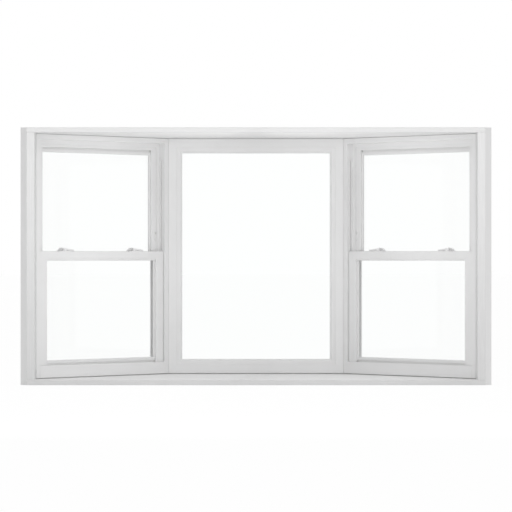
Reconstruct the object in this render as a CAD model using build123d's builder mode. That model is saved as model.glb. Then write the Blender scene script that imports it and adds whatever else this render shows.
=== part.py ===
from build123d import *

import os
from math import cos, radians, sin

# A 45 degree bay window: a fixed picture window between two double-hung windows,
# mulled together between a head board and a seat board.
# X runs along the wall, Y runs from the room to the outside and Z is up. The origin is
# the middle of the underside, so the unit stands on Z = 0.

# Plan of the bay
bay_angle = 45.0
centre_width = 949.0
flanker_width = 949.0
unit_height = 1280.0
unit_depth = 86.0
side_jamb_depth = 110.0
side_jamb_face = 40.5
cover_bevel = 33.2
board_thickness = 26.5

# Mullions, covers and the shadow line where a frame meets its surround
cover_thickness = 4.0
cover_lap = 18.0
mull_nose = 3.0
head_shadow = 2.6
seat_shadow = 4.6
side_shadow = 2.2
shadow_depth = 6.0
edge_break = 1.2

# Double-hung frame
jamb_face = 29.0
parting_reach = 50.5
parting_depth = 43.7
parting_thickness = 3.3
outer_stop_reach = 59.0
outer_stop_thickness = 6.0
balance_slot_depth = 5.0
balance_slot_width = 5.0
balance_slot_top_gap = 119.0
sill_dam_height = 68.0
sill_dam_thickness = 9.0
sill_floor = 30.0
sill_step = 8.0
sill_fall = 10.0

# Sashes
sash_side_gap = 1.5
sash_back_gap = 0.5
lower_sash_setback = 11.5
sash_thickness = 31.0
stile_face = 55.0
glass_cover = 7.5
rail_face = 37.5
grip_depth = 12.0
bead_width = 9.0
bead_setback = 8.0
bead_slope = 1.5
outer_lip_reach = 6.5
outer_lip_slope = 6.0
check_rail_height = 49.0
check_rail_drop = 3.0
check_rail_ledge = 8.0
check_rail_rise = 26.0
interlock_reach = 4.0
interlock_height = 3.0
interlock_gap = 1.0

# Glazing
glass_thickness = 3.0
sash_air_space = 6.7
picture_air_space = 13.0
glass_setback = 14.5
glass_edge_gap = 2.0
spacer_width = 6.0
spacer_inset = 0.5

# Picture window
picture_face = 51.0
picture_bead_flat = 18.0
picture_bead_slope = 10.0
picture_bead_step = 6.0
picture_bead_fall = 7.0
picture_jamb_trim = 7.5
picture_ledge = 12.0
picture_rebate = 13.0
picture_back_face = 58.0
picture_back_slope = 22.0
picture_lip = 7.0

# Hardware on the check rails
lock_spread = 496.0
lock_base_length = 62.0
lock_base_width = 20.0
lock_base_height = 3.0
lock_base_edge = 1.2
cam_radius = 11.5
cam_height = 15.0
cam_taper = 10.0
cam_edge = 3.0
lever_reach = 64.0
lever_heel = 12.0
lever_height = 18.0
lever_sag_height = 11.5
lever_tip_height = 8.5
lever_thickness = 8.0
lever_root_width = 15.0
lever_tip_width = 9.0
keeper_length = 62.0
keeper_width = 11.0
keeper_base_height = 3.0
keeper_crown_length = 22.0
keeper_height = 19.0
keeper_edge = 2.5

# Vent stops on the upper sash
vent_stop_rise = 84.0
vent_stop_inset = 26.5
vent_stop_width = 10.0
vent_stop_height = 46.0
vent_stop_reach = 5.0
vent_stop_edge = 1.5
vent_stop_grip_width = 6.0
vent_stop_grip_height = 12.0
vent_stop_grip_gap = 3.0

# Worked out from the sizes above
along = (cos(radians(bay_angle)), sin(radians(bay_angle)))
outward = (-along[1], along[0])
room_half_width = centre_width / 2 + flanker_width * along[0]
flanker_depth = flanker_width * along[1]
overall_depth = side_jamb_depth + flanker_depth + unit_depth + cover_thickness
room_y = -overall_depth / 2
flanker_y = room_y + side_jamb_depth
centre_y = flanker_y + flanker_depth
half_width = room_half_width + side_jamb_face + cover_bevel
total_height = unit_height + 2 * board_thickness
unit_middle = unit_height / 2
parting_back = parting_depth + parting_thickness
upper_sash_setback = parting_back + sash_back_gap
sash_half_width = flanker_width / 2 - jamb_face - sash_side_gap
lower_sash_bottom = sill_floor
lower_sash_top = unit_middle + check_rail_rise
upper_sash_bottom = lower_sash_top - check_rail_height
upper_sash_top = unit_height - jamb_face
rebate_inset = stile_face - glass_cover
sight_inset = stile_face + bead_width
sash_pane_depth = 2 * glass_thickness + sash_air_space
sash_lip = glass_setback + sash_pane_depth
picture_pane_depth = 2 * glass_thickness + picture_air_space
picture_lip_depth = glass_setback + picture_pane_depth

# Each window is drawn on its own plane: x along the window, y up, z into the room
centre_unit = Plane(
    origin=(0, centre_y, board_thickness), x_dir=(1, 0, 0), z_dir=(0, -1, 0)
)
flanker_unit = Plane(
    origin=(
        -room_half_width + flanker_width / 2 * along[0],
        flanker_y + flanker_depth / 2,
        board_thickness,
    ),
    x_dir=(along[0], along[1], 0),
    z_dir=(-outward[0], -outward[1], 0),
)


os.makedirs("parts", exist_ok=True)


def plan_point(distance, depth):
    """Plan position on the left flanker, from its room corner at the side jamb."""
    return (
        -room_half_width + distance * along[0] + depth * outward[0],
        flanker_y + distance * along[1] + depth * outward[1],
    )


def mirrored(part):
    """The same piece on the other side of the bay."""
    with BuildPart() as opposite:
        add(part)
        mirror(about=Plane.YZ, mode=Mode.REPLACE)
    return opposite.part


def save(part, name):
    part.label = name
    export_step(part, f"parts/{name}.step")


def save_pair(part, name):
    """Write the left piece and its mirror image on the right."""
    save(part, f"left_{name}")
    save(mirrored(part), f"right_{name}")


def plan_prism(outline, bottom, height):
    """Upright extrusion of a plan outline."""
    with BuildPart() as prism:
        with BuildSketch(Plane.XY.offset(bottom)):
            with BuildLine():
                Polyline(*outline, close=True)
            make_face()
        extrude(amount=height)
    return prism.part


def lineal(unit, corners, section, eased=0.0):
    """Sweep one extrusion along straight runs with mitred corners.

    The corners run anticlockwise round the window, seen from the room. The section
    lists (inward, depth) pairs, with depth measured from the window's room face.
    """
    start = Vector(*corners[0])
    heading = (Vector(*corners[1]) - start).normalized()
    world_heading = unit.x_dir * heading.X + unit.y_dir * heading.Y
    world_inward = unit.y_dir * heading.X - unit.x_dir * heading.Y
    with BuildPart() as piece:
        with BuildLine(unit) as route:
            Polyline(*corners)
        with BuildSketch(
            Plane(unit.from_local_coords(start), x_dir=world_inward, z_dir=world_heading)
        ) as profile:
            with BuildLine():
                Polyline(*[(inward, -depth) for inward, depth in section], close=True)
            make_face()
            if eased:
                chamfer(profile.vertices().group_by(Axis.Y)[-1], length=eased)
        sweep(path=route.wire(), transition=Transition.RIGHT)
    return piece.part


def ring_route(left, right, bottom, top):
    """Closed anticlockwise route that starts in the middle of the bottom."""
    middle = (left + right) / 2
    return [
        (middle, bottom),
        (right, bottom),
        (right, top),
        (left, top),
        (left, bottom),
        (middle, bottom),
    ]


def panel(unit, left, right, bottom, top, depth, thickness):
    """Flat sheet parallel to the window, its room face at the given depth."""
    with BuildPart() as sheet:
        with BuildSketch(unit.offset(-depth)):
            with Locations(((left + right) / 2, (bottom + top) / 2)):
                Rectangle(right - left, top - bottom)
        extrude(amount=-thickness)
    return sheet.part


def shadow_line(unit, width, at_side_jamb):
    """Strips cut from a frame's room edges, which leave a thin shadow line."""
    with BuildPart() as strips:
        with BuildSketch(unit):
            with Locations((0, seat_shadow / 2)):
                Rectangle(width, seat_shadow)
            with Locations((0, unit_height - head_shadow / 2)):
                Rectangle(width, head_shadow)
            if at_side_jamb:
                with Locations((-width / 2 + side_shadow / 2, unit_middle)):
                    Rectangle(side_shadow, unit_height)
        extrude(amount=-shadow_depth)
    return strips.part


def pane_pair(unit, left, right, bottom, top, depth, air_space):
    """Two sheets of glass with the air space between them."""
    with BuildPart() as panes:
        add(panel(unit, left, right, bottom, top, depth, glass_thickness))
        back = depth + glass_thickness + air_space
        add(panel(unit, left, right, bottom, top, back, glass_thickness))
    return panes.part


def pane_spacer(unit, left, right, bottom, top, depth, air_space):
    """Spacer bar that holds the two sheets apart, just inside their edge."""
    front = depth + glass_thickness
    section = [
        (spacer_inset, front),
        (spacer_inset + spacer_width, front),
        (spacer_inset + spacer_width, front + air_space),
        (spacer_inset, front + air_space),
    ]
    return lineal(unit, ring_route(left, right, bottom, top), section)


# Boards: both span the bay between the covers and carry the windows
board_outline_left = [
    (-room_half_width - side_jamb_face, room_y),
    plan_point(0, side_jamb_face / along[1]),
    plan_point(0, unit_depth),
    plan_point(flanker_width, unit_depth),
    (-centre_width / 2, centre_y + unit_depth),
]
board_outline = board_outline_left + [(-x, y) for x, y in reversed(board_outline_left)]


def board(bottom):
    """Laminated board with its long room edge eased."""
    with BuildPart() as sheet:
        add(plan_prism(board_outline, bottom, board_thickness))
        chamfer(sheet.edges().filter_by(Axis.X).group_by(Axis.Y)[0], length=edge_break)
    return sheet.part


save(board(0), "seat_board")
save(board(board_thickness + unit_height), "head_board")

# Side jambs: they fill the wall's depth in front of the flankers
side_jamb_outline = [
    (-room_half_width, room_y),
    plan_point(0, 0),
    plan_point(0, side_jamb_face / along[1]),
    (-room_half_width - side_jamb_face, room_y),
]
save_pair(plan_prism(side_jamb_outline, board_thickness, unit_height), "side_jamb")

# End covers: bevelled posts as tall as the unit, lapped over the flanker's outer face
cover_depth = unit_depth + cover_thickness
cover_overrun = (side_jamb_face + cover_bevel - cover_depth * along[1]) / along[0]
end_cover_outline = [
    (-room_half_width - side_jamb_face, room_y),
    (-half_width, room_y + cover_bevel),
    plan_point(-cover_overrun, cover_depth),
    plan_point(cover_lap, cover_depth),
    plan_point(cover_lap, unit_depth),
    plan_point(0, unit_depth),
    plan_point(0, side_jamb_face / along[1]),
]
save_pair(plan_prism(end_cover_outline, 0, total_height), "end_cover")

# Corner mullions: wedges between the ends of two frames that meet at an angle
corner_mull_outline = [
    plan_point(flanker_width, mull_nose),
    plan_point(flanker_width, unit_depth),
    (-centre_width / 2, centre_y + unit_depth),
    (-centre_width / 2, centre_y + mull_nose),
]
save_pair(plan_prism(corner_mull_outline, board_thickness, unit_height), "corner_mull")

# Corner covers: folded strips over each mullion, lapped on to both frames
with BuildPart() as corner_cover:
    with BuildSketch(Plane.XY):
        with BuildLine():
            Polyline(
                plan_point(flanker_width - cover_lap, unit_depth),
                plan_point(flanker_width, unit_depth),
                (-centre_width / 2, centre_y + unit_depth),
                (-centre_width / 2 + cover_lap, centre_y + unit_depth),
            )
            offset(amount=cover_thickness, side=Side.LEFT, kind=Kind.INTERSECTION)
        make_face()
    extrude(amount=total_height)
save_pair(corner_cover.part, "corner_cover")

# Picture window: one extrusion mitred round all four sides. Its jambs are cut back where
# they meet the mullions, so that they show less face than the head and the sill.
picture_sight = picture_face + picture_bead_flat + picture_bead_slope
picture_section = [
    (0, 0),
    (picture_face, 0),
    (picture_face, picture_ledge),
    (picture_face + picture_rebate, picture_ledge),
    (picture_face + picture_rebate, picture_lip_depth),
    (picture_sight, picture_lip_depth),
    (picture_sight, picture_lip_depth + picture_lip),
    (picture_back_face, picture_lip_depth + picture_lip + picture_back_slope),
    (picture_back_face, unit_depth),
    (0, unit_depth),
]
picture_bead_section = [
    (picture_face, picture_bead_step),
    (picture_face + picture_bead_flat, picture_bead_step),
    (picture_sight, picture_bead_step + picture_bead_fall),
    (picture_sight, glass_setback),
    (picture_face + picture_rebate, glass_setback),
    (picture_face + picture_rebate, picture_ledge),
    (picture_face, picture_ledge),
]
picture_half_width = centre_width / 2 + picture_jamb_trim
picture_edges = (-picture_half_width, picture_half_width, 0, unit_height)
with BuildPart() as centre_frame:
    add(lineal(centre_unit, ring_route(*picture_edges), picture_section, edge_break))
    with BuildSketch(centre_unit):
        with Locations((0, unit_middle)):
            Rectangle(centre_width, unit_height)
    extrude(amount=-unit_depth, mode=Mode.INTERSECT)
    add(shadow_line(centre_unit, centre_width, False), mode=Mode.SUBTRACT)
save(centre_frame.part, "centre_frame")
save(
    lineal(centre_unit, ring_route(*picture_edges), picture_bead_section),
    "centre_glazing_bead",
)

picture_glass_inset = picture_face + picture_rebate + glass_edge_gap
centre_glass_edges = (
    -picture_half_width + picture_glass_inset,
    picture_half_width - picture_glass_inset,
    picture_glass_inset,
    unit_height - picture_glass_inset,
)
save(
    pane_pair(centre_unit, *centre_glass_edges, glass_setback, picture_air_space),
    "centre_glass",
)
save(
    pane_spacer(centre_unit, *centre_glass_edges, glass_setback, picture_air_space),
    "centre_glass_spacer",
)

# Flanker frame: head and jambs share an extrusion, and the sill has its own
jamb_section = [
    (0, 0),
    (jamb_face, 0),
    (jamb_face, parting_depth),
    (parting_reach, parting_depth),
    (parting_reach, parting_back),
    (jamb_face, parting_back),
    (jamb_face, unit_depth - outer_stop_thickness),
    (outer_stop_reach, unit_depth - outer_stop_thickness),
    (outer_stop_reach, unit_depth),
    (0, unit_depth),
]
sill_section = [
    (0, 0),
    (sill_dam_height, 0),
    (sill_dam_height, sill_dam_thickness),
    (sill_floor, sill_dam_thickness),
    (sill_floor, parting_depth),
    (sill_floor + sill_step, parting_depth),
    (sill_floor + sill_step, parting_back),
    (sill_floor, parting_back),
    (sill_floor - sill_fall, unit_depth),
    (0, unit_depth),
]
half_flanker = flanker_width / 2
jamb_route = [
    (half_flanker, 0),
    (half_flanker, unit_height),
    (-half_flanker, unit_height),
    (-half_flanker, 0),
]
sill_route = [(-half_flanker + jamb_face, 0), (half_flanker - jamb_face, 0)]
with BuildPart() as frame:
    add(lineal(flanker_unit, jamb_route, jamb_section, edge_break))
    add(lineal(flanker_unit, sill_route, sill_section))
    add(shadow_line(flanker_unit, flanker_width, True), mode=Mode.SUBTRACT)
    # Balance slots behind the middle of each sash's edge, open up to the travel limit
    for sash_setback in (lower_sash_setback, upper_sash_setback):
        slot_start = sash_setback + (sash_thickness - balance_slot_width) / 2
        with BuildSketch(flanker_unit.offset(-slot_start)):
            slot_height = unit_height - balance_slot_top_gap - sill_floor
            slot_offset = half_flanker - jamb_face + balance_slot_depth / 2
            with Locations(
                (-slot_offset, sill_floor + slot_height / 2),
                (slot_offset, sill_floor + slot_height / 2),
            ):
                Rectangle(balance_slot_depth, slot_height)
        extrude(amount=-balance_slot_width, mode=Mode.SUBTRACT)
save_pair(frame.part, "frame")

# Sashes: three mitred sides and a slimmer check rail where the sashes meet. The rail
# opposite the check rail has a grip, a groove for the fingers between the stiles.
sash_section = [
    (0, 0),
    (stile_face, 0),
    (stile_face, glass_setback),
    (rebate_inset, glass_setback),
    (rebate_inset, sash_lip),
    (rebate_inset + outer_lip_reach, sash_lip),
    (rebate_inset + outer_lip_reach - outer_lip_slope, sash_thickness),
    (0, sash_thickness),
]
grip_section = [
    (rail_face, 0),
    (stile_face, 0),
    (stile_face, bead_setback),
    (rebate_inset, bead_setback),
    (rebate_inset, grip_depth),
    (rail_face, grip_depth),
]
bead_section = [
    (stile_face, bead_setback),
    (sight_inset - bead_slope, bead_setback),
    (sight_inset, bead_setback + bead_slope),
    (sight_inset, glass_setback),
    (stile_face, glass_setback),
]
channel_floor = check_rail_height - check_rail_ledge
check_rail_section = [
    (0, 0),
    (channel_floor, 0),
    (channel_floor, check_rail_drop),
    (check_rail_height, check_rail_drop),
    (check_rail_height, glass_setback),
    (channel_floor, glass_setback),
    (channel_floor, sash_lip),
    (check_rail_height, sash_lip),
    (check_rail_height, sash_thickness),
    (0, sash_thickness),
]


def set_back(section, setback):
    """The same section moved away from the room."""
    return [(inward, depth + setback) for inward, depth in section]


def interlock_fin(height, near_depth, far_depth):
    """Level fin along the check rails, between the two depths."""
    width = sash_half_width - rebate_inset
    top = height + interlock_height
    return panel(flanker_unit, -width, width, height, top, near_depth, far_depth - near_depth)


def sash_parts(name, sides_route, rail_route, grip_route, setback, glass_bottom, glass_top, fin):
    """Sash, glazing bead, glass and spacer of one double-hung sash."""
    with BuildPart() as sash:
        add(lineal(flanker_unit, sides_route, set_back(sash_section, setback), edge_break))
        add(
            lineal(flanker_unit, grip_route, set_back(grip_section, setback)),
            mode=Mode.SUBTRACT,
        )
        add(lineal(flanker_unit, rail_route, set_back(check_rail_section, setback), edge_break))
        add(fin)
    save_pair(sash.part, f"{name}_sash")
    bead = lineal(flanker_unit, sides_route, set_back(bead_section, setback))
    with BuildPart() as trimmed_bead:
        add(bead)
        with BuildSketch(flanker_unit):
            with Locations((0, (lower_sash_top + upper_sash_bottom) / 2)):
                Rectangle(2 * sash_half_width, check_rail_height)
        extrude(amount=-unit_depth, mode=Mode.SUBTRACT)
    save_pair(trimmed_bead.part, f"{name}_glazing_bead")
    side = sash_half_width - rebate_inset - glass_edge_gap
    edges = (-side, side, glass_bottom, glass_top)
    depth = setback + glass_setback
    save_pair(pane_pair(flanker_unit, *edges, depth, sash_air_space), f"{name}_glass")
    save_pair(pane_spacer(flanker_unit, *edges, depth, sash_air_space), f"{name}_glass_spacer")


lower_back = lower_sash_setback + sash_thickness
grip_half_width = sash_half_width - stile_face
glass_bite = channel_floor + glass_edge_gap / 4
lower_fin_height = unit_middle + interlock_height
sash_parts(
    "lower",
    [
        (-sash_half_width, lower_sash_top),
        (-sash_half_width, lower_sash_bottom),
        (sash_half_width, lower_sash_bottom),
        (sash_half_width, lower_sash_top),
    ],
    [(sash_half_width, lower_sash_top), (-sash_half_width, lower_sash_top)],
    [(-grip_half_width, lower_sash_bottom), (grip_half_width, lower_sash_bottom)],
    lower_sash_setback,
    lower_sash_bottom + rebate_inset + glass_edge_gap,
    lower_sash_top - glass_bite,
    interlock_fin(lower_fin_height, lower_back, lower_back + interlock_reach),
)
sash_parts(
    "upper",
    [
        (sash_half_width, upper_sash_bottom),
        (sash_half_width, upper_sash_top),
        (-sash_half_width, upper_sash_top),
        (-sash_half_width, upper_sash_bottom),
    ],
    [(-sash_half_width, upper_sash_bottom), (sash_half_width, upper_sash_bottom)],
    [(grip_half_width, upper_sash_top), (-grip_half_width, upper_sash_top)],
    upper_sash_setback,
    upper_sash_bottom + glass_bite,
    upper_sash_top - rebate_inset - glass_edge_gap,
    interlock_fin(
        lower_fin_height + interlock_height + interlock_gap,
        upper_sash_setback - interlock_reach,
        upper_sash_setback,
    ),
)

# Sash locks on the lower check rail, and the keepers they catch on the upper one
rail_top = Plane(
    flanker_unit.from_local_coords(Vector(0, lower_sash_top, 0)),
    x_dir=flanker_unit.x_dir,
    z_dir=flanker_unit.y_dir,
)
toward_room = Axis((0, 0, 0), tuple(flanker_unit.z_dir))
lock_depth = lower_sash_setback + sash_thickness - lock_base_width / 2 - edge_break
lock_places = (-lock_spread / 2, lock_spread / 2)


def lock_cam(place):
    """Round cam housing with a softened top."""
    with BuildPart() as cam:
        with BuildSketch(rail_top):
            with Locations((place, lock_depth)):
                Circle(cam_radius)
        extrude(amount=cam_height, taper=cam_taper)
        fillet(cam.faces().sort_by(Axis.Z)[-1].edges(), radius=cam_edge)
    return cam.part


def lock_lever(place):
    """Lever that sweeps down from the cam and narrows to its tip.

    It is the common part of a sagging side view and a tapered plan.
    """
    heel = place - lever_heel
    middle = place + lever_reach / 2
    end = place + lever_reach
    shoulder = end - lever_tip_width / 2
    heights = [lower_sash_top + rise for rise in (lever_height, lever_sag_height, lever_tip_height)]
    upper_curve = list(zip((heel, middle, end), heights))
    lower_curve = [(x, height - lever_thickness) for x, height in reversed(upper_curve)]
    near_root, near_tip = lock_depth - lever_root_width / 2, lock_depth - lever_tip_width / 2
    far_root, far_tip = lock_depth + lever_root_width / 2, lock_depth + lever_tip_width / 2
    with BuildPart() as lever:
        with BuildSketch(flanker_unit.offset(-lock_depth)):
            with BuildLine():
                crown = ThreePointArc(*upper_curve)
                foot = ThreePointArc(*lower_curve)
                Line(crown @ 1, foot @ 0)
                Line(foot @ 1, crown @ 0)
            make_face()
        extrude(amount=lever_root_width, both=True)
        with BuildSketch(rail_top):
            with BuildLine():
                Line((place, near_root), (shoulder, near_tip))
                ThreePointArc((shoulder, near_tip), (end, lock_depth), (shoulder, far_tip))
                Line((shoulder, far_tip), (place, far_root))
                ThreePointArc((place, far_root), (heel, lock_depth), (place, near_root))
            make_face()
        extrude(amount=lever_height, mode=Mode.INTERSECT)
    return lever.part


with BuildPart() as sash_locks:
    for place in lock_places:
        with BuildSketch(rail_top):
            with Locations((place, lock_depth)):
                SlotOverall(lock_base_length, lock_base_width)
        extrude(amount=lock_base_height)
    chamfer(sash_locks.faces().group_by(Axis.Z)[-1].edges(), length=lock_base_edge)
    for place in lock_places:
        add(lock_cam(place))
        add(lock_lever(place))
save_pair(sash_locks.part, "sash_locks")


def lock_keeper(place):
    """Keeper with sloping ends and a rounded crown."""
    foot = lower_sash_top + keeper_base_height
    crown = lower_sash_top + keeper_height
    with BuildPart() as keeper:
        with BuildSketch(flanker_unit.offset(-upper_sash_setback - check_rail_drop)):
            with BuildLine():
                Polyline(
                    (place - keeper_length / 2, lower_sash_top),
                    (place + keeper_length / 2, lower_sash_top),
                    (place + keeper_length / 2, foot),
                    (place + keeper_crown_length / 2, crown),
                    (place - keeper_crown_length / 2, crown),
                    (place - keeper_length / 2, foot),
                    close=True,
                )
            make_face()
        extrude(amount=-keeper_width)
        fillet(keeper.edges().filter_by(toward_room).group_by(Axis.Z)[-1], radius=keeper_edge)
    return keeper.part


with BuildPart() as lock_keepers:
    for place in lock_places:
        add(lock_keeper(place))
save_pair(lock_keepers.part, "lock_keepers")

# Vent stops on the upper stiles: they hold the lower sash to a narrow opening. Each has a
# finger grip cut through near its top.
vent_stop_place = sash_half_width - vent_stop_inset
vent_stop_middle = lower_sash_top + vent_stop_rise
vent_grip_middle = (
    vent_stop_middle + (vent_stop_height - vent_stop_grip_height) / 2 - vent_stop_grip_gap
)
with BuildPart() as vent_stops:
    for place in (-vent_stop_place, vent_stop_place):
        with BuildSketch(flanker_unit.offset(-upper_sash_setback)):
            with Locations((place, vent_stop_middle)):
                Rectangle(vent_stop_width, vent_stop_height)
        extrude(amount=vent_stop_reach)
    chamfer(vent_stops.faces().group_by(toward_room)[-1].edges(), length=vent_stop_edge)
    for place in (-vent_stop_place, vent_stop_place):
        with BuildSketch(flanker_unit.offset(-upper_sash_setback)):
            with Locations((place, vent_grip_middle)):
                Rectangle(vent_stop_grip_width, vent_stop_grip_height)
        extrude(amount=vent_stop_reach, mode=Mode.SUBTRACT)
save_pair(vent_stops.part, "vent_stops")
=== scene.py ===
# %% [markdown]
# # Dressing a bay window
# The unit has a fixed picture window between two double-hung windows, all white
# vinyl. Its solids come ready made, in metres, and stay where they are. These
# cells light them, give each surface its finish, and add the parts that are too
# small or too soft for the solids. Loading comes first, because every later
# position is read from the solids.

import bpy
import numpy as np
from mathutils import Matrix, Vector


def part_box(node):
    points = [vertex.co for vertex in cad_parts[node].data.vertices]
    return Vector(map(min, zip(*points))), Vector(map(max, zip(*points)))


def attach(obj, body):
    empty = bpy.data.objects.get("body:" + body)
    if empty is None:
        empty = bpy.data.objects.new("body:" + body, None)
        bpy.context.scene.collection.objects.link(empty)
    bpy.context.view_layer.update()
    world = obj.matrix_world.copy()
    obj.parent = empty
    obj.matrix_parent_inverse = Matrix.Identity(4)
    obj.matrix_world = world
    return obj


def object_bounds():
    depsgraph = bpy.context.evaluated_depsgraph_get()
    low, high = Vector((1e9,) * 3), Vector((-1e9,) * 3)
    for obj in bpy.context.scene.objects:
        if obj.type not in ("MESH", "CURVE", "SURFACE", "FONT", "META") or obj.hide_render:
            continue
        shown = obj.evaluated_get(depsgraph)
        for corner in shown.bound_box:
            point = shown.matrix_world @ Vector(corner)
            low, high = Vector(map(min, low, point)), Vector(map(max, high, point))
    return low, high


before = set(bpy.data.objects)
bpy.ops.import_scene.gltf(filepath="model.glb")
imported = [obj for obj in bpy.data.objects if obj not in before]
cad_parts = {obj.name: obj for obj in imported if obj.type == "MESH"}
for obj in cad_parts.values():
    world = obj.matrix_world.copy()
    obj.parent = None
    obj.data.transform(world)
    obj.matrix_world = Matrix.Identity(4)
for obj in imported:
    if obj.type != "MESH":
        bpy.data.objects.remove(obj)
solid_low, solid_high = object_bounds()
print("solids", len(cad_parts), "size", tuple(solid_high - solid_low))

# %% [markdown]
# ## The camera
# A picture of a product is taken from far off with a long lens, so that upright
# edges stay upright. The camera stands level on the middle line, half way up the
# window, and looks straight at the wall's plane. Shift and depth of field stay
# off, so the same camera also serves for every other view.

# %% Camera
CAMERA_DISTANCE = 15.07
CAMERA_HEIGHT = 0.6675
LENS_MM = 205.03

camera_data = bpy.data.cameras.new("product_camera")
camera_data.lens = LENS_MM
camera_data.sensor_width = 36.0
camera_data.clip_end = 200.0
camera = bpy.data.objects.new("product_camera", camera_data)
camera.location = (0.0, solid_low.y - CAMERA_DISTANCE, CAMERA_HEIGHT)
camera.rotation_euler = (np.pi / 2, 0.0, 0.0)
bpy.context.scene.collection.objects.link(camera)
bpy.context.scene.camera = camera
bpy.context.scene.view_settings.view_transform = "Standard"
print("camera at", tuple(camera.location))

# %% [markdown]
# ## Short sums for shader nodes
# A finish is a small calculation made at every point of a surface: how far this
# point is from a corner, which way the extrusion ran, how deep a scratch is. Nodes
# do that well but are slow to read, so the next cell wraps one output socket as a
# Field, which can be added, scaled and compared like a number. A Tree then makes
# any node by name and joins what it is given, be it a plain value or a Field.

# %% Fields and trees
# Where a Mix node keeps its share, its two colours and the mixed colour.
MIX_SHARE, MIX_FIRST, MIX_SECOND, MIX_RESULT = 0, 6, 7, 2


class Field:
    """A number that varies over a surface, held as one output of a node tree."""

    def __init__(self, tree, socket):
        """Remember the tree, so that sums add their nodes to it."""
        self.tree = tree
        self.socket = socket

    def __add__(self, other):
        """This plus another Field or number."""
        return self.tree.math("ADD", self, other)

    def __sub__(self, other):
        """This less another Field or number."""
        return self.tree.math("SUBTRACT", self, other)

    def __rsub__(self, other):
        """A plain number less this."""
        return self.tree.math("SUBTRACT", other, self)

    def __mul__(self, other):
        """This times another Field or number."""
        return self.tree.math("MULTIPLY", self, other)

    __radd__ = __add__
    __rmul__ = __mul__

    def least(self, other):
        """The smaller of the two."""
        return self.tree.math("MINIMUM", self, other)

    def most(self, other):
        """The larger of the two."""
        return self.tree.math("MAXIMUM", self, other)

    def size(self):
        """The number without its sign."""
        return self.tree.math("ABSOLUTE", self)

    def rises(self, start, end, low=0.0, high=1.0):
        """Smooth step from low to high while this number goes from start to end."""
        ramp = self.tree.node("ShaderNodeMapRange", interpolation_type="SMOOTHSTEP")
        for name, value in zip(
            ("Value", "From Min", "From Max", "To Min", "To Max"), (self, start, end, low, high)
        ):
            self.tree.join(value, ramp.inputs[name])
        return Field(self.tree, ramp.outputs["Result"])


class Tree:
    """The nodes of one material, or of the world."""

    def __init__(self, owner):
        """Start from an empty tree."""
        owner.use_nodes = True
        self.nodes = owner.node_tree.nodes
        self.links = owner.node_tree.links
        self.nodes.clear()

    def node(self, kind, **settings):
        """A new node of a kind, with its settings."""
        made = self.nodes.new(kind)
        for name, value in settings.items():
            setattr(made, name, value)
        return made

    def join(self, value, socket):
        """Link a Field or an output to a socket, or set a plain value on it."""
        if isinstance(value, Field):
            self.links.new(value.socket, socket)
        elif isinstance(value, bpy.types.NodeSocket):
            self.links.new(value, socket)
        else:
            socket.default_value = value

    def math(self, operation, *terms):
        """One sum of a Math node, as a Field."""
        made = self.node("ShaderNodeMath", operation=operation)
        for term, socket in zip(terms, made.inputs):
            self.join(term, socket)
        return Field(self, made.outputs[0])

    def axes(self, socket):
        """The three parts of a vector, as Fields."""
        apart = self.node("ShaderNodeSeparateXYZ")
        self.links.new(socket, apart.inputs[0])
        return [Field(self, output) for output in apart.outputs]

    def place(self, name="Object"):
        """Where the point is: its Object coordinates unless another output is named."""
        return self.axes(self.node("ShaderNodeTexCoord").outputs[name])

    def mottle(self, parts, scale, detail=2.0):
        """Soft noise from 0 to 1 over up to three Fields, scale blotches to the metre."""
        vector = self.node("ShaderNodeCombineXYZ")
        for part, socket in zip(parts, vector.inputs):
            self.join(part, socket)
        noise = self.node("ShaderNodeTexNoise")
        self.links.new(vector.outputs[0], noise.inputs["Vector"])
        noise.inputs["Scale"].default_value = scale
        noise.inputs["Detail"].default_value = detail
        return Field(self, noise.outputs["Fac"])

    def blend(self, share, first, second):
        """Colour that goes from the first to the second as the share goes from 0 to 1."""
        mix = self.node("ShaderNodeMix", data_type="RGBA")
        self.join(share, mix.inputs[MIX_SHARE])
        self.join(first, mix.inputs[MIX_FIRST])
        self.join(second, mix.inputs[MIX_SECOND])
        return mix.outputs[MIX_RESULT]

    def ray(self, *names):
        """1 for a ray of any of the named kinds, else 0."""
        paths = self.node("ShaderNodeLightPath")
        found = Field(self, paths.outputs[names[0]])
        for name in names[1:]:
            found = found.most(Field(self, paths.outputs[name]))
        return found

    def choose(self, share, first, second):
        """Mix of two shaders."""
        mix = self.node("ShaderNodeMixShader")
        self.join(share, mix.inputs[0])
        self.links.new(first, mix.inputs[1])
        self.links.new(second, mix.inputs[2])
        return mix.outputs[0]


def grey(level):
    """A neutral colour of one brightness."""
    return (level, level, level, 1.0)


print("fields and trees ready")

# %% [markdown]
# ## Light
# White vinyl only shows its form where the light changes, so most of the light comes
# from the world: strongest from above, a little from the right and from behind. Large
# soft lamps in front and above add to it. One of them is a wide panel that only
# shows as a reflection, and its sheen brightens the upper part of the glossy edges.
# The inside of the bay would be dull, so two weak lamps face its sides and a narrow
# one shines up at the head board. Camera, mirror and glass rays meet a plain white
# world instead, so what the panes show stays white without lighting the vinyl.

# %% World
WORLD_FILL = 0.12
WORLD_RIGHT = 0.29
WORLD_BACK = 0.38
WORLD_TOP = 0.88
SEEN_RAYS = ("Is Camera Ray", "Is Glossy Ray", "Is Transmission Ray")

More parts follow.
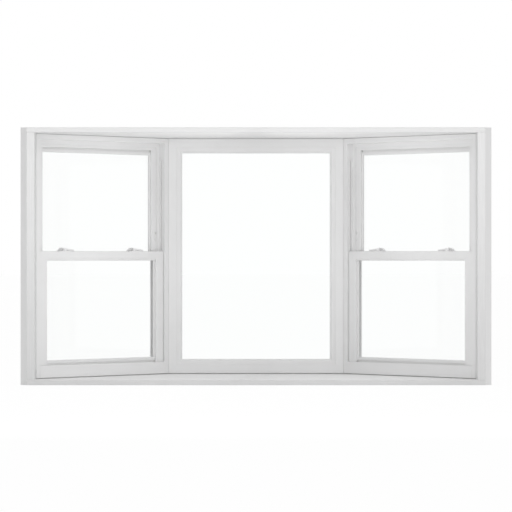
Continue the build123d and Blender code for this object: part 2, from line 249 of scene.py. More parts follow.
world = bpy.data.worlds.new("studio")
bpy.context.scene.world = world
tree = Tree(world)
to_right, to_back, to_top = tree.place("Generated")
level = (
    to_right.most(0.0) * WORLD_RIGHT
    + to_back.most(0.0) * WORLD_BACK
    + to_top.most(0.0) * WORLD_TOP
    + WORLD_FILL
)
unseen = 1.0 - tree.ray(*SEEN_RAYS)
backdrop_light = tree.node("ShaderNodeBackground")
backdrop_light.inputs["Color"].default_value = grey(1.0)
tree.join((level - 1.0) * unseen + 1.0, backdrop_light.inputs["Strength"])
world_out = tree.node("ShaderNodeOutputWorld")
tree.links.new(backdrop_light.outputs[0], world_out.inputs["Surface"])
print("world nodes", len(tree.nodes))

# %% Lamps
# Sizes are width by height. OUT is towards the room and IN is into the bay, both from
# the room edge of the boards; UP is above the floor.
TOP_POWER = 4.5
TOP_SIZE = (3.0, 0.8)
TOP_OUT = 1.2
TOP_OVER = 0.8
TOP_AIM_UNDER = 0.4
FRONT_POWER = 21.0
FRONT_SIZE = (3.6, 1.36)
FRONT_OUT = 4.5
FRONT_UP = 1.22
SHEEN_POWER = 110.0
SHEEN_SIZE = (5.2, 1.36)
LOW_POWER = 0.7
LOW_SIZE = (2.0, 0.3)
LOW_SPREAD = np.radians(60.0)
LOW_IN = 0.22
LOW_AIM_IN = 0.24
LOW_UP = 0.12
BAY_POWER = 1.05
BAY_SIZE = (0.4, 0.7)
BAY_IN = 0.05
BAY_UP = 0.78
BAY_OFF_MIDDLE = 0.02


def studio_lamp(name, place, aim, size, power):
    """A soft rectangular lamp of a width and height in metres, aimed at a point."""
    lamp = bpy.data.lights.new(name, "AREA")
    lamp.shape = "RECTANGLE"
    lamp.size, lamp.size_y = size
    lamp.energy = power
    holder = bpy.data.objects.new(name, lamp)
    holder.location = place
    direction = Vector(aim) - Vector(place)
    holder.rotation_euler = direction.to_track_quat("-Z", "Y").to_euler()
    holder.visible_camera = False
    holder.visible_glossy = False
    holder.visible_transmission = False
    bpy.context.scene.collection.objects.link(holder)
    return holder


front = solid_low.y
top = solid_high.z
above = (0.0, front - TOP_OUT, top + TOP_OVER)
studio_lamp("top_lamp", above, (0.0, front, top - TOP_AIM_UNDER), TOP_SIZE, TOP_POWER)
before, level_aim = (0.0, front - FRONT_OUT, FRONT_UP), (0.0, front, FRONT_UP)
studio_lamp("front_lamp", before, level_aim, FRONT_SIZE, FRONT_POWER)
beneath = (0.0, front + LOW_IN, LOW_UP)
low_lamp = studio_lamp(
    "low_lamp", beneath, (0.0, front + LOW_AIM_IN, top), LOW_SIZE, LOW_POWER
)
low_lamp.data.spread = LOW_SPREAD
sheen_lamp = studio_lamp("sheen_lamp", before, level_aim, SHEEN_SIZE, SHEEN_POWER)
sheen_lamp.visible_glossy = True
sheen_lamp.visible_diffuse = False
for side in (-1, 1):
    bay_middle = (BAY_OFF_MIDDLE * side, front + BAY_IN, BAY_UP)
    studio_lamp("bay_lamp", bay_middle, (side, front + BAY_IN, BAY_UP), BAY_SIZE, BAY_POWER)

# %% [markdown]
# ## Floor
# The unit stands on a pale studio floor. Its shader is part white glow, seen only by
# camera, mirror and glass rays, and part plain matt surface, which takes the shadow.
# Light that bounces off it sees the matt part alone, so the glow never lights vinyl.

# %% Floor
FLOOR_REACH = 90.0
FLOOR_GLOW = 0.94
FLOOR_GREY = 0.9

floor_mesh = bpy.data.meshes.new("studio_floor")
floor_corners = np.array([[-1, -1, 0], [1, -1, 0], [1, 1, 0], [-1, 1, 0]]) * FLOOR_REACH
floor_corners[:, 2] = solid_low.z
floor_mesh.from_pydata(floor_corners.tolist(), [], [(0, 1, 2, 3)])
floor = bpy.data.objects.new("studio_floor", floor_mesh)
bpy.context.scene.collection.objects.link(floor)
floor_material = bpy.data.materials.new("studio_floor")
tree = Tree(floor_material)
bright_matt = tree.node("ShaderNodeBsdfDiffuse")
bright_matt.inputs["Color"].default_value = grey(1.0)
dull_matt = tree.node("ShaderNodeBsdfDiffuse")
dull_matt.inputs["Color"].default_value = grey(FLOOR_GREY)
glow = tree.node("ShaderNodeEmission")
shown = tree.choose(FLOOR_GLOW, bright_matt.outputs[0], glow.outputs[0])
floor_look = tree.choose(tree.ray(*SEEN_RAYS), dull_matt.outputs[0], shown)
floor_out = tree.node("ShaderNodeOutputMaterial")
tree.links.new(floor_look, floor_out.inputs["Surface"])
floor_mesh.materials.append(floor_material)
print("floor at", floor_corners[0, 2])

# %% [markdown]
# ## Each window's own axes
# The side windows stand at 45 degrees, so distances along X and Y say little about
# them. Every finish and every small part is easier to place with a window's own
# axes: across the opening from its middle, up, and outward through the glass. They
# are measured from the frames' solids, by taking every corner's distance along the
# axis and keeping the least and the greatest.

# %% Window axes
BAY_ANGLE = np.radians(45.0)


def reach(node, direction):
    """Least and greatest distance of a solid's corners along a unit direction."""
    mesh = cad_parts[node].data
    corners = np.empty(3 * len(mesh.vertices))
    mesh.vertices.foreach_get("co", corners)
    distances = corners.reshape(-1, 3) @ direction
    return distances.min(), distances.max()


class Window:
    """One window: its directions in plan and the reach of its frame along them."""

    def __init__(self, node, turn):
        self.across = np.array([np.cos(turn), np.sin(turn), 0.0])
        self.outward = np.array([-np.sin(turn), np.cos(turn), 0.0])
        left, right = reach(node, self.across)
        self.middle = (left + right) / 2
        self.half = (right - left) / 2
        self.face, self.back = reach(node, self.outward)
        self.bottom, self.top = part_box(node)[0].z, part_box(node)[1].z

    def half_span(self, node):
        """Half of a solid's width across this window."""
        left, right = reach(node, self.across)
        return (right - left) / 2

    def points(self, across, up, depth):
        """World positions: the middle plus across, height up, depth outward of the face."""
        across, up, depth = np.broadcast_arrays(across, up, depth)
        flat = (
            np.multiply.outer(self.middle + across, self.across)
            + np.multiply.outer(self.face + depth, self.outward)
        )
        flat[..., 2] = up
        return flat

    def fields(self, tree):
        """The same three distances at a shaded point, as Fields of a tree."""
        x, y, z = tree.place()
        across = x * self.across[0] + y * self.across[1] - self.middle
        depth = x * self.outward[0] + y * self.outward[1] - self.face
        return across, z, depth


windows = {
    "left": Window("left_frame", BAY_ANGLE),
    "centre": Window("centre_frame", 0.0),
    "right": Window("right_frame", -BAY_ANGLE),
}
for name, window in windows.items():
    print(name, "half width", round(window.half, 4), "depth", round(window.back - window.face, 4))

# %% [markdown]
# ## White window vinyl
# Frames and sashes are extruded vinyl, cut at 45 degrees and welded at the corners.
# Up close it isn't quite plain: die lines run along every length, the surface has a
# fine orange peel, and each weld leaves a thin scraped line across the corner. A
# flat white would hide that, and a picture would need unwrapping. Here the lines
# are noise stretched along the extrusion: it varies with the distance from the
# ring's edge and with depth, but hardly along the length, so it turns the corner at
# each mitre as the real lines do. A Bevel node softens the edges for light only.
# Shade is painted into the slots round the sashes and along the foot of each frame, as a
# grey darker than the vinyl. An occlusion measure finds the slots by itself: it tells how
# closed in a point is, so the painted shade gathers where walls close in.

# %% Finish helpers
VINYL_WHITE = 0.885
VINYL_SHADE = 0.862
VINYL_GLOSS = 0.42
VINYL_SHEEN = 0.3
EDGE_RADIUS = 0.0011
DIE_LINE_DEPTH = 0.00003
PEEL_DEPTH = 0.000022
WELD_DEPTH = 0.00018
WELD_HALF_WIDTH = 0.0007
LINE_ROUGH = 0.10
PEEL_ROUGH = 0.06
SCRAPE_ROUGH = 0.2
CLOUD_SCALE = 6.0
CLOUD_SHARE = 0.6
PEEL_SCALE = 620.0
RING_LINE_SCALE = 750.0
POST_LINE_SCALE = 650.0
LINE_STRETCH = 0.004
# Painted shade in slots and grooves: its grey, how far up a frame it goes, its fade and the
# occlusion that sets it.
GROOVE_SHADE_GREY = (0.52, 0.52, 0.51, 1.0)
FRAME_SHADE_RISE = 0.03
GROOVE_SHADE_FADE = 0.03
GROOVE_REACH = 0.012
GROOVE_DARK = 0.2
GROOVE_UNSHADED = 0.62


def new_finish(name, edge_radius):
    """A Principled material whose normals start from softened edges."""
    material = bpy.data.materials.new(name)
    tree = Tree(material)
    tree.material = material
    tree.shader = tree.node("ShaderNodeBsdfPrincipled")
    output = tree.node("ShaderNodeOutputMaterial")
    tree.links.new(tree.shader.outputs[0], output.inputs["Surface"])
    soft_edge = tree.node("ShaderNodeBevel", samples=4)
    soft_edge.inputs["Radius"].default_value = edge_radius
    tree.normal = soft_edge.outputs[0]
    return tree


def emboss(tree, height, depth):
    """Add relief of the given depth in metres, where height goes from 0 to 1."""
    bump = tree.node("ShaderNodeBump")
    bump.inputs["Strength"].default_value = 1.0
    tree.join(height, bump.inputs["Height"])
    bump.inputs["Distance"].default_value = depth
    tree.links.new(tree.normal, bump.inputs["Normal"])
    tree.normal = bump.outputs[0]
    tree.links.new(tree.normal, tree.shader.inputs["Normal"])


def painted_groove_shade(tree):
    """Share of painted shade: 1 in the depth of a slot or groove, and 0 on open faces
    and in plain corners.

    Occlusion tells how much of its surroundings a point sees within the groove's
    reach: half in a plain corner, and less only where walls close in from both sides.
    """
    seen = tree.node("ShaderNodeAmbientOcclusion", samples=8)
    seen.inputs["Distance"].default_value = GROOVE_REACH
    return Field(tree, seen.outputs["AO"]).rises(GROOVE_DARK, GROOVE_UNSHADED, 1.0, 0.0)


def vinyl_surface(tree, lines, scrape=None, groove_shade_share=None):
    """Colour, gloss and relief of white vinyl from its die lines and weld scrape.

    Shade is painted into slots where the given share is 1 and left out where it is 0,
    or nowhere without it.
    """
    x, y, z = tree.place()
    cloud = tree.mottle((x, y, z), CLOUD_SCALE).rises(0.3, 0.7)
    peel = tree.mottle((x, y, z), PEEL_SCALE, 1.0)
    shade = cloud * CLOUD_SHARE + lines.rises(0.35, 0.65) * (1.0 - CLOUD_SHARE)
    if scrape is not None:
        shade = shade.least(1.0 - scrape)
    unshaded_colour = tree.blend(shade, grey(VINYL_SHADE), grey(VINYL_WHITE))
    if groove_shade_share is not None:
        # Painted shade: grey laid into slots and grooves where occlusion finds walls close in.
        unshaded_colour = tree.blend(painted_groove_shade(tree) * groove_shade_share, unshaded_colour, GROOVE_SHADE_GREY)
    tree.join(unshaded_colour, tree.shader.inputs["Base Color"])
    rough = (lines - 0.5) * LINE_ROUGH + (peel - 0.5) * PEEL_ROUGH + VINYL_GLOSS
    if scrape is not None:
        rough = rough + scrape * SCRAPE_ROUGH
    tree.join(rough, tree.shader.inputs["Roughness"])
    tree.shader.inputs["Specular IOR Level"].default_value = VINYL_SHEEN
    emboss(tree, lines, DIE_LINE_DEPTH)
    emboss(tree, peel, PEEL_DEPTH)
    if scrape is not None:
        emboss(tree, 1.0 - scrape, WELD_DEPTH)


def welded_vinyl(name, window, half, bottom, top, shade_top):
    """Vinyl of a welded ring: half its width, its bottom, its top and the top of its painted slot
    shade.

    The distance from the ring's nearest edge is min(half - |across|, up - bottom,
    top - up). The weld lies where the first equals the smaller of the others.
    """
    tree = new_finish(name, EDGE_RADIUS)
    across, up, depth = window.fields(tree)
    from_side = half - across.size()
    from_rail = (up - bottom).least(top - up)
    inset = from_side.least(from_rail)
    lines = tree.mottle((inset, depth, (across + up) * LINE_STRETCH), RING_LINE_SCALE)
    off_weld = (from_side - from_rail).size()
    scrape = off_weld.rises(0.4 * WELD_HALF_WIDTH, WELD_HALF_WIDTH, 1.0, 0.0)
    # Shade is painted into slots only below this height, fading over a short rise above it.
    groove_shade_share = up.rises(shade_top, shade_top + GROOVE_SHADE_FADE, 1.0, 0.0)
    vinyl_surface(tree, lines, scrape, groove_shade_share)
    return tree.material


def upright_vinyl(name):
    """Vinyl of a post or cover extruded upright: its lines vary in plan only."""
    tree = new_finish(name, EDGE_RADIUS)
    x, y, z = tree.place()
    lines = tree.mottle((x, y, z * LINE_STRETCH), POST_LINE_SCALE)
    vinyl_surface(tree, lines)
    return tree.material


def dress(finish, *nodes):
    """Give CAD nodes one finish all over."""
    for node in nodes:
        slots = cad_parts[node].data.materials
        slots.clear()
        slots.append(finish)


# %% Frames, sashes and posts
for side, window in windows.items():
    frame_vinyl = welded_vinyl(
        f"{side}_frame_vinyl",
        window,
        window.half,
        window.bottom,
        window.top,
        # Painted slot shade along the frame's foot only.
        window.bottom + FRAME_SHADE_RISE,
    )
    dress(frame_vinyl, f"{side}_frame")
    if side == "centre":
        dress(frame_vinyl, "centre_glazing_bead")
        continue
    for level_name in ("lower", "upper"):
        sash = f"{side}_{level_name}_sash"
        low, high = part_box(sash)
        sash_vinyl = welded_vinyl(
            # Painted slot shade over the whole sash.
            f"{sash}_vinyl", window, window.half_span(sash), low.z, high.z, high.z
        )
        dress(sash_vinyl, sash, f"{side}_{level_name}_glazing_bead")
post_vinyl = upright_vinyl("post_vinyl")
for side in ("left", "right"):
    dress(post_vinyl, f"{side}_corner_mull", f"{side}_corner_cover", f"{side}_end_cover")
print("vinyl finishes", sum("vinyl" in material.name for material in bpy.data.materials))

# %% [markdown]
# ## Laminate boards
# The head board, the seat board and the side jambs are sheets of plywood faced with
# smooth white laminate. The boards' broad faces are dull and print a very faint
# grain along their length. Their room edges have a glossier edge band, and so have
# the jambs' fronts. A wood picture would be too strong, so the grain is noise drawn
# out twenty times along the length, and it only moves gloss and shade a little.

# %% Boards and jambs
LAMINATE_WHITE = 0.8
LAMINATE_SHADE = 0.775
LAMINATE_DULL = 0.75
BAND_GLOSS = 0.26
BAND_REACH = 0.0012
GRAIN_DEPTH = 0.00003
GRAIN_SCALE = 160.0
GRAIN_STRETCH = 0.05
GRAIN_ROUGH = 0.1
FLECK_SCALE = 900.0
FLECK_STRETCH = 0.3
FLECK_ROUGH = 0.06
SHEET_CLOUD_SCALE = 4.0


def laminate(name, upright):
    """White laminate with its grain along X, or along Z where it stands upright."""
    tree = new_finish(name, EDGE_RADIUS)
    x, y, z = tree.place()
    if upright:
        grain_place, fleck_place = (x, y, z * GRAIN_STRETCH), (x, y, z * FLECK_STRETCH)
    else:
        grain_place, fleck_place = (x * GRAIN_STRETCH, y, z), (x * FLECK_STRETCH, y, z)
    grain = tree.mottle(grain_place, GRAIN_SCALE, 4.0)
    fleck = tree.mottle(fleck_place, FLECK_SCALE, 1.0)
    cloud = tree.mottle((x, y, z), SHEET_CLOUD_SCALE)
    shade = grain.rises(0.35, 0.65) * 0.5 + cloud.rises(0.3, 0.7) * 0.5
    colour = tree.blend(shade, grey(LAMINATE_SHADE), grey(LAMINATE_WHITE))
    tree.join(colour, tree.shader.inputs["Base Color"])
    behind_edge = y - float(solid_low.y)
    gloss = behind_edge.rises(BAND_REACH, 2 * BAND_REACH, BAND_GLOSS, LAMINATE_DULL)
    rough = gloss + (grain - 0.5) * GRAIN_ROUGH + (fleck - 0.5) * FLECK_ROUGH
    tree.join(rough, tree.shader.inputs["Roughness"])
    emboss(tree, grain, GRAIN_DEPTH)
    emboss(tree, fleck, GRAIN_DEPTH)
    return tree.material


board_laminate = laminate("board_laminate", upright=False)
jamb_laminate = laminate("jamb_laminate", upright=True)
dress(board_laminate, "head_board", "seat_board")
dress(jamb_laminate, "left_side_jamb", "right_side_jamb")
print("laminate", board_laminate.name, jamb_laminate.name)

# %% [markdown]
# ## Clear glass
# Each pane pair is clear float glass. Seen square on it all but vanishes, and what
# is left is a weak gloss, a slight waviness from the rollers and a green tint at the
# cut edge. A glass shader shows that. Shadows and bounced light pass through it by
# a clear shader instead, so the lamps reach the vinyl behind without noise.

# %% Panes
GLASS_BEND = 1.18
WAVE_DEPTH = 0.00002
WAVE_SCALE = 14.0
WAVE_STRETCH = 0.3
CUT_EDGE_REACH = 0.0012
EDGE_TINT = (0.72, 0.88, 0.82, 1.0)
CLEAR_TINT = (0.995, 1.0, 0.998, 1.0)


def float_glass(name, window, half, bottom, top):
    """Clear glass with roller waves across it and a green cut edge."""
    material = bpy.data.materials.new(name)
    tree = Tree(material)
    across, up, _ = window.fields(tree)
    glass = tree.node("ShaderNodeBsdfPrincipled")
    glass.inputs["Transmission Weight"].default_value = 1.0
    glass.inputs["IOR"].default_value = GLASS_BEND
    glass.inputs["Roughness"].default_value = 0.0
    inset = (half - across.size()).least((up - bottom).least(top - up))
    at_edge = inset.rises(0.0, CUT_EDGE_REACH, 1.0, 0.0)
    tree.join(tree.blend(at_edge, CLEAR_TINT, EDGE_TINT), glass.inputs["Base Color"])
    wave = tree.mottle((across * WAVE_STRETCH, up, 0.0), WAVE_SCALE, 1.0)
    bump = tree.node("ShaderNodeBump")
    bump.inputs["Distance"].default_value = WAVE_DEPTH
    tree.join(wave, bump.inputs["Height"])
    tree.links.new(bump.outputs[0], glass.inputs["Normal"])
    clear = tree.node("ShaderNodeBsdfTransparent")
    look = tree.choose(
        tree.ray("Is Shadow Ray", "Is Diffuse Ray"), glass.outputs[0], clear.outputs[0]
    )
    output = tree.node("ShaderNodeOutputMaterial")
    tree.links.new(look, output.inputs["Surface"])
    return material


pane_nodes = {"centre_glass": windows["centre"]}
for side in ("left", "right"):
    for level_name in ("lower", "upper"):
        pane_nodes[f"{side}_{level_name}_glass"] = windows[side]
for node, window in pane_nodes.items():
    low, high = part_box(node)
    dress(float_glass(f"{node}_clear", window, window.half_span(node), low.z, high.z), node)
print("panes", len(pane_nodes))

# %% [markdown]
# ## Spacer bars
# A hollow aluminium bar holds the two panes apart. Its inner wall has a row of tiny
# holes, through which the drying beads inside take up moisture, and thin mill lines
# along its length. The holes are a repeating distance along the bar, so one formula
# gives the whole row. A ring has two upright and two level runs, so the length along
# the bar is the height on the first and the distance across on the others.

# %% Spacers
SPACER_GREY = 0.72
SPACER_GLOSS = 0.3
# Near black painted in each hole, as the shade inside it.
HOLE_SHADE_GREY = 0.08
FINE_EDGE_RADIUS = 0.0002
HOLE_PITCH = 0.006
HOLE_RADIUS = 0.0006
MILL_DEPTH = 0.00002
MILL_SCALE = 2200.0
MILL_STRETCH = 0.01
MILL_ROUGH = 0.2


def spacer_bar(name, window, node):
    """Mill finish aluminium with a row of holes along the middle of the bar."""
    tree = new_finish(name, FINE_EDGE_RADIUS)
    low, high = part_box(node)
    half = window.half_span(node)
    front, back = reach(node, window.outward)
    across, up, depth = window.fields(tree)
    from_side = half - across.size()
    from_rail = (up - low.z).least(high.z - up)
    on_upright = tree.math("LESS_THAN", from_side, from_rail)
    run = across + (up - across) * on_upright
    step = tree.math("PINGPONG", run, HOLE_PITCH / 2)
    off_middle = depth - ((front + back) / 2 - window.face)
    hole_distance = tree.math("SQRT", step * step + off_middle * off_middle)
    hole = hole_distance.rises(0.7 * HOLE_RADIUS, HOLE_RADIUS, 1.0, 0.0)
    inset = from_side.least(from_rail)
    lines = tree.mottle((inset, depth, run * MILL_STRETCH), MILL_SCALE)
    # Painted shade: each hole is coloured near black for the shade inside it.
    colour = tree.blend(hole, grey(SPACER_GREY), grey(HOLE_SHADE_GREY))
    tree.join(colour, tree.shader.inputs["Base Color"])
    tree.shader.inputs["Metallic"].default_value = 1.0
    tree.join(lines * MILL_ROUGH + SPACER_GLOSS, tree.shader.inputs["Roughness"])
    emboss(tree, lines, MILL_DEPTH)
    emboss(tree, 1.0 - hole, HOLE_RADIUS)
    return tree.material


for pane, window in pane_nodes.items():
    node = f"{pane}_spacer"
    dress(spacer_bar(f"{node}_metal", window, node), node)
print("spacers", len(pane_nodes))

# %% [markdown]
# ## Locks, keepers and vent stops
# These are small castings with a white powder coat, which is a little rougher than
# vinyl and shows a pebbled skin. Use rubs the coat smoother along the edges. The
# softened normal differs from the true one only near an edge, so the angle between
# the two tells the finish where an edge is.

# %% Powder coat
COAT_WHITE = 0.88
COAT_RUBBED = 0.84
COAT_GLOSS = 0.36
COAT_EDGE_RADIUS = 0.0012
PEBBLE_DEPTH = 0.00004
PEBBLE_SCALE = 900.0
PEBBLE_ROUGH = 0.15
WEAR_SCALE = 260.0
WEAR_SMOOTH = 0.1
EDGE_LIKENESS = (0.80, 0.995)


def powder_coat(name):
    """White powder coat with a pebbled skin and rubbed edges."""
    tree = new_finish(name, COAT_EDGE_RADIUS)
    x, y, z = tree.place()
    pebble = tree.mottle((x, y, z), PEBBLE_SCALE)
    likeness = tree.node("ShaderNodeVectorMath", operation="DOT_PRODUCT")
    geometry = tree.node("ShaderNodeNewGeometry")
    tree.links.new(tree.normal, likeness.inputs[0])
    tree.links.new(geometry.outputs["Normal"], likeness.inputs[1])
    edge = Field(tree, likeness.outputs["Value"]).rises(*EDGE_LIKENESS, 1.0, 0.0)
    worn = edge * tree.mottle((x, y, z), WEAR_SCALE, 3.0).rises(0.4, 0.6)
    colour = tree.blend(worn, grey(COAT_WHITE), grey(COAT_RUBBED))
    tree.join(colour, tree.shader.inputs["Base Color"])
    rough = (pebble - 0.5) * PEBBLE_ROUGH + COAT_GLOSS - worn * WEAR_SMOOTH
    tree.join(rough, tree.shader.inputs["Roughness"])
    emboss(tree, pebble, PEBBLE_DEPTH)
    return tree.material


coat = powder_coat("hardware_coat")
for side in ("left", "right"):
    dress(coat, f"{side}_sash_locks", f"{side}_lock_keepers", f"{side}_vent_stops")
print("hardware finish", coat.name)

# %% [markdown]
# ## Small pieces as grids of points
# What is left is too small or too soft for the solids: the lips that seal the glass,
# the brush in the gap beside a sash, and the lock screws. Each could be cut from a
# primitive, but a formula is shorter, and its sizes can be read and changed. A shape
# is worked out in one sum as a grid, stations along it by points round it. The next
# cell joins neighbours into faces and closes the ends. It then adds up the volume
# that the faces enclose, which comes out negative where they look inwards.

# %% Grid helpers
SHARP_ANGLE = np.radians(32.0)


def side_quads(stations, points, ring):
    """Faces between neighbouring stations; a ring's last station joins its first."""
    station = np.arange(stations if ring else stations - 1)[:, None]
    point = np.arange(points)
    here, ahead = station * points, (station + 1) % stations * points
    beside = (point + 1) % points
    corners = (here + point, here + beside, ahead + beside, ahead + point)
    return np.stack(corners, axis=-1).reshape(-1, 4)


def end_fans(stations, points):
    """Triangles from a middle point to each end station, to close a tube."""
    point = np.arange(points)
    beside = (point + 1) % points
    last = (stations - 1) * points
    hub = np.full(points, stations * points)
    near = np.stack((hub, beside, point), axis=-1)
    far = np.stack((hub + 1, last + point, last + beside), axis=-1)
    return np.concatenate((near, far))


def skin(grid, ring=False):
    """Points, quads and triangles of a closed surface, with its faces outwards.

    Its volume is the sum of first . (second x third) / 6 over all its triangles.
    """
    stations, points = grid.shape[:2]
    spots = grid.reshape(-1, 3)
    quads = side_quads(stations, points, ring)
    fans = np.empty((0, 3), dtype=int)
    if not ring:
        fans = end_fans(stations, points)
        spots = np.concatenate((spots, grid[[0, -1]].mean(axis=1)))
    halves = np.concatenate((quads[:, [0, 1, 2]], quads[:, [0, 2, 3]], fans))
    first, second, third = (spots - spots.mean(axis=0))[halves].transpose(1, 0, 2)
    if (first * np.cross(second, third)).sum() < 0:
        quads, fans = quads[:, ::-1], fans[:, ::-1]
    return spots, quads, fans


def new_piece(name, skins, finish):
    """One object made of closed skins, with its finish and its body."""
    starts = np.cumsum([0] + [len(spots) for spots, _, _ in skins])
    faces = []
    for start, (_, quads, fans) in zip(starts, skins):
        faces += (quads + start).tolist() + (fans + start).tolist()
    mesh = bpy.data.meshes.new(name)
    mesh.from_pydata(np.concatenate([spots for spots, _, _ in skins]).tolist(), [], faces)
    mesh.shade_smooth()
    mesh.set_sharp_from_angle(angle=SHARP_ANGLE)
    mesh.materials.append(finish)
    piece = bpy.data.objects.new(name, mesh)
    bpy.context.scene.collection.objects.link(piece)
    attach(piece, "root")
    print(name, len(skins), "skins", len(faces), "faces")


print("grid helpers ready")

# %% [markdown]
# ## Sealing lips round the glass
# A hard bead would leak and rattle against glass, so a lip of soft vinyl runs along
# its inner edge, and another along the edge of the rebate outside. It shows as a thin
# line round the pane, a little greyer than the bead. A curve with a bevel could make
# one, but it rounds or twists the corners. Here the section's inward reach is taken
# off the half width, added to the bottom and taken off the top, so that the four
# corners are true mitres.

# %% Sealing lips
LIP_REACH = 0.0009
LIP_RISE = 0.0016
LIP_RISE_OUTSIDE = 0.0009
LIP_ROOT = 0.0003
LIP_OFF_GLASS = 0.00003
LIP_STEPS = 12
LIP_GREYS = (0.72, 0.78)
LIP_GRAIN_SCALE = 1500.0
LIP_GRAIN_DEPTH = 0.00002
LIP_GLOSS = 0.55
SOFT_CLOUD_SCALE = 30.0
SOFT_ROUGH = 0.2
PICTURE_SIGHT = 0.013
BEAD_SIGHT = 0.0145
REBATE_SIGHT = 0.0045
CHECK_RAIL_SIGHT = 0.0075


def lip_section(rise):
    """Inward reach and height off the glass: a quarter of an ellipse on a short root.

    inward = reach cos(turn) and height = rise sin(turn), as turn goes from 0 to 90
    degrees, and then the root's two corners.
    """
    turn = np.linspace(0.0, np.pi / 2, LIP_STEPS)
    inward = np.append(LIP_REACH * np.cos(turn), [-LIP_ROOT, -LIP_ROOT])
    height = np.append((rise - LIP_OFF_GLASS) * np.sin(turn), [rise - LIP_OFF_GLASS, 0.0])
    return inward, height + LIP_OFF_GLASS


def mitred_ring(window, half, bottom, top, inward, depth):
    """A section carried round a rectangle, as four corners by the section's points.

    Across is the side's sign times (half - inward). Up is bottom + inward at the two
    lower corners and top - inward at the two upper ones.
    """
    sign = np.array([-1.0, 1.0, 1.0, -1.0])[:, None]
    lower = np.array([True, True, False, False])[:, None]
    up = np.where(lower, bottom + inward, top - inward)
    return window.points(sign * (half - inward), up, depth)


def pane_lips(node, window):
    """The lips of one pane, on the room side and outside.

    A sight line lies further in than the glass's hidden edge, by less at a check rail.
    """
    low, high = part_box(node)
    half = window.half_span(node)
    near, far = (distance - window.face for distance in reach(node, window.outward))
    skins = []
    for glass_face, way, rise, sight in (
        (near, -1.0, LIP_RISE, BEAD_SIGHT),
        (far, 1.0, LIP_RISE_OUTSIDE, REBATE_SIGHT),
    ):
        if node == "centre_glass":
            sight = PICTURE_SIGHT
        below = CHECK_RAIL_SIGHT if "upper" in node else sight
        above = CHECK_RAIL_SIGHT if "lower" in node else sight
        inward, height = lip_section(rise)
        bottom, top = low.z + below, high.z - above
        depth = glass_face + way * height
        lip = mitred_ring(window, half - sight, bottom, top, inward, depth)
        skins.append(skin(lip, ring=True))
    return skins


def soft_finish(name, greys, scale, roughness, depth):
    """A soft material: cloudy grey with a fine matt grain of so many to the metre."""
    tree = new_finish(name, FINE_EDGE_RADIUS)
    x, y, z = tree.place()
    grain = tree.mottle((x, y, z), scale, 3.0)
    cloud = tree.mottle((x, y, z), SOFT_CLOUD_SCALE).rises(0.3, 0.7)
    share = cloud * 0.5 + grain.rises(0.3, 0.7) * 0.5
    colour = tree.blend(share, grey(greys[0]), grey(greys[1]))
    tree.join(colour, tree.shader.inputs["Base Color"])
    rough = grain * SOFT_ROUGH + (roughness - SOFT_ROUGH / 2)
    tree.join(rough, tree.shader.inputs["Roughness"])
    emboss(tree, grain, depth)
    return tree


soft_vinyl = soft_finish(
    "soft_vinyl", LIP_GREYS, LIP_GRAIN_SCALE, LIP_GLOSS, LIP_GRAIN_DEPTH
).material
for node, window in pane_nodes.items():
    new_piece(f"{node}_lips", pane_lips(node, window), soft_vinyl)

# %% [markdown]
# ## Pile beside the lower sashes
# A sash slides with a gap of 1.5 millimetres at each side. A brush of short woven
# pile fills it against draughts, and from the room it is the grey that closes the
# dark slit. Hair particles would be true to life but heavy, and a plain strip looks
# like tape. An oval tube whose size ripples from tuft to tuft is light, and it still
# has a brush's uneven edge. Only the lower sashes show theirs, because stops cover
# both sides of the upper ones.

# %% Pile
SASH_GAP = 0.0015
PILE_BITE = 0.00005
PILE_HALF_DEPTH = 0.0022
PILE_BEHIND_FACE = 0.006
PILE_END = 0.002
PILE_PITCH = 0.0026
PILE_STEP = 0.00065
PILE_POINTS = 8
PILE_RIPPLE = 0.12
PILE_GREYS = (0.5, 0.66)
PILE_GRAIN_SCALE = 2600.0
PILE_GRAIN_DEPTH = 0.0001
PILE_DULL = 0.9
PILE_SHEEN = 0.3


def pile_strip(window, across, bottom, top, depth):
    """An upright oval tube that ripples from tuft to tuft.

    Its size is 1 - ripple |sin(pi up / pitch + turn)|, times the half gap across and
    the half depth outwards.
    """
    up = np.arange(bottom, top, PILE_STEP)[:, None]
    turn = np.linspace(0.0, 2 * np.pi, PILE_POINTS, endpoint=False)
    size = 1.0 - PILE_RIPPLE * np.abs(np.sin(np.pi * up / PILE_PITCH + turn))
    half_across = SASH_GAP / 2 + PILE_BITE
    return window.points(
        across + half_across * size * np.cos(turn),
        up,
        depth + PILE_HALF_DEPTH * size * np.sin(turn),
    )


tree = soft_finish("woven_pile", PILE_GREYS, PILE_GRAIN_SCALE, PILE_DULL, PILE_GRAIN_DEPTH)
tree.shader.inputs["Sheen Weight"].default_value = PILE_SHEEN
woven_pile = tree.material
for side in ("left", "right"):
    window = windows[side]
    sash = f"{side}_lower_sash"
    low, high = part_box(sash)
    edge = window.half_span(sash) + SASH_GAP / 2
    depth = reach(sash, window.outward)[0] - window.face + PILE_BEHIND_FACE
    strips = [
        skin(pile_strip(window, across, low.z + PILE_END, high.z - PILE_END, depth))
        for across in (-edge, edge)
    ]
    new_piece(f"{sash}_pile", strips, woven_pile)

# %% [markdown]
# ## Lock screws
# Two countersunk screws with cross recesses hold each lock to its rail. A cylinder
# with a cross cut out of it needs a boolean and leaves ragged faces. Instead the head
# is a disc of rings whose height is a formula: a low dome, less the recess, which is
# deep wherever a point is near one of two crossing lines and inside the arms' length.

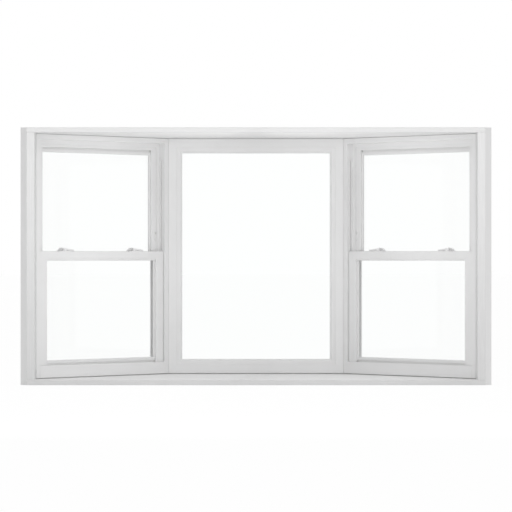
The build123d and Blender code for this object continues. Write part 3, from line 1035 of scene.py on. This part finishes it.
# %% Screws
SCREW_RADIUS = 0.0034
SCREW_DOME = 0.0006
SCREW_EDGE = 0.0002
SCREW_ROOT = 0.0004
SCREW_POINTS = 64
SCREW_RINGS = 28
SCREW_HUB = 0.0001
RECESS_DEPTH = 0.0009
RECESS_ARM = 0.0019
RECESS_HALF_WIDTH = 0.0005
RECESS_SLOPE = 0.00025
LOCK_SPREAD = 0.496
LOCK_PLATE = 0.003
SCREW_OFF_LOCK = 0.024
SCREW_TURNS = (0.3, 1.1, 0.7, 0.1)


def soft_step(value, start, end):
    """0 before start, 1 past end, and 3t^2 - 2t^3 between."""
    share = np.clip((value - start) / (end - start), 0.0, 1.0)
    return share * share * (3.0 - 2.0 * share)


def screw_head(window, across, up, depth, turned):
    """Rings from the middle of the top over the rim and back under the head.

    height = edge + dome (1 - (r / R)^2) - recess. The recess is the larger of its two
    arms, each a soft step of the distance off its line times one of the distance out.
    """
    turn = np.linspace(0.0, 2 * np.pi, SCREW_POINTS, endpoint=False)
    top_rings = np.linspace(SCREW_HUB, SCREW_RADIUS, SCREW_RINGS)
    out = np.append(top_rings, [SCREW_RADIUS, SCREW_HUB])[:, None]
    height = SCREW_EDGE + SCREW_DOME * (1.0 - (out / SCREW_RADIUS) ** 2)
    along, beside = out * np.cos(turn), out * np.sin(turn)
    edge = (RECESS_HALF_WIDTH, RECESS_HALF_WIDTH - RECESS_SLOPE)
    within = soft_step(out, RECESS_ARM, RECESS_ARM - 2 * RECESS_SLOPE)
    arms = np.maximum(soft_step(np.abs(along), *edge), soft_step(np.abs(beside), *edge))
    height = height - RECESS_DEPTH * arms * within
    height[-2:] = -SCREW_ROOT
    place = turn + turned
    return window.points(
        across + out * np.cos(place), up + height, depth + out * np.sin(place)
    )


for side in ("left", "right"):
    window = windows[side]
    locks = f"{side}_sash_locks"
    near, far = reach(locks, window.outward)
    plate_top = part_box(locks)[0].z + LOCK_PLATE
    places = [
        lock + offset
        for lock in (-LOCK_SPREAD / 2, LOCK_SPREAD / 2)
        for offset in (-SCREW_OFF_LOCK, SCREW_OFF_LOCK)
    ]
    heads = [
        skin(screw_head(window, across, plate_top, (near + far) / 2 - window.face, turned))
        for across, turned in zip(places, SCREW_TURNS)
    ]
    new_piece(f"{side}_lock_screws", heads, coat)
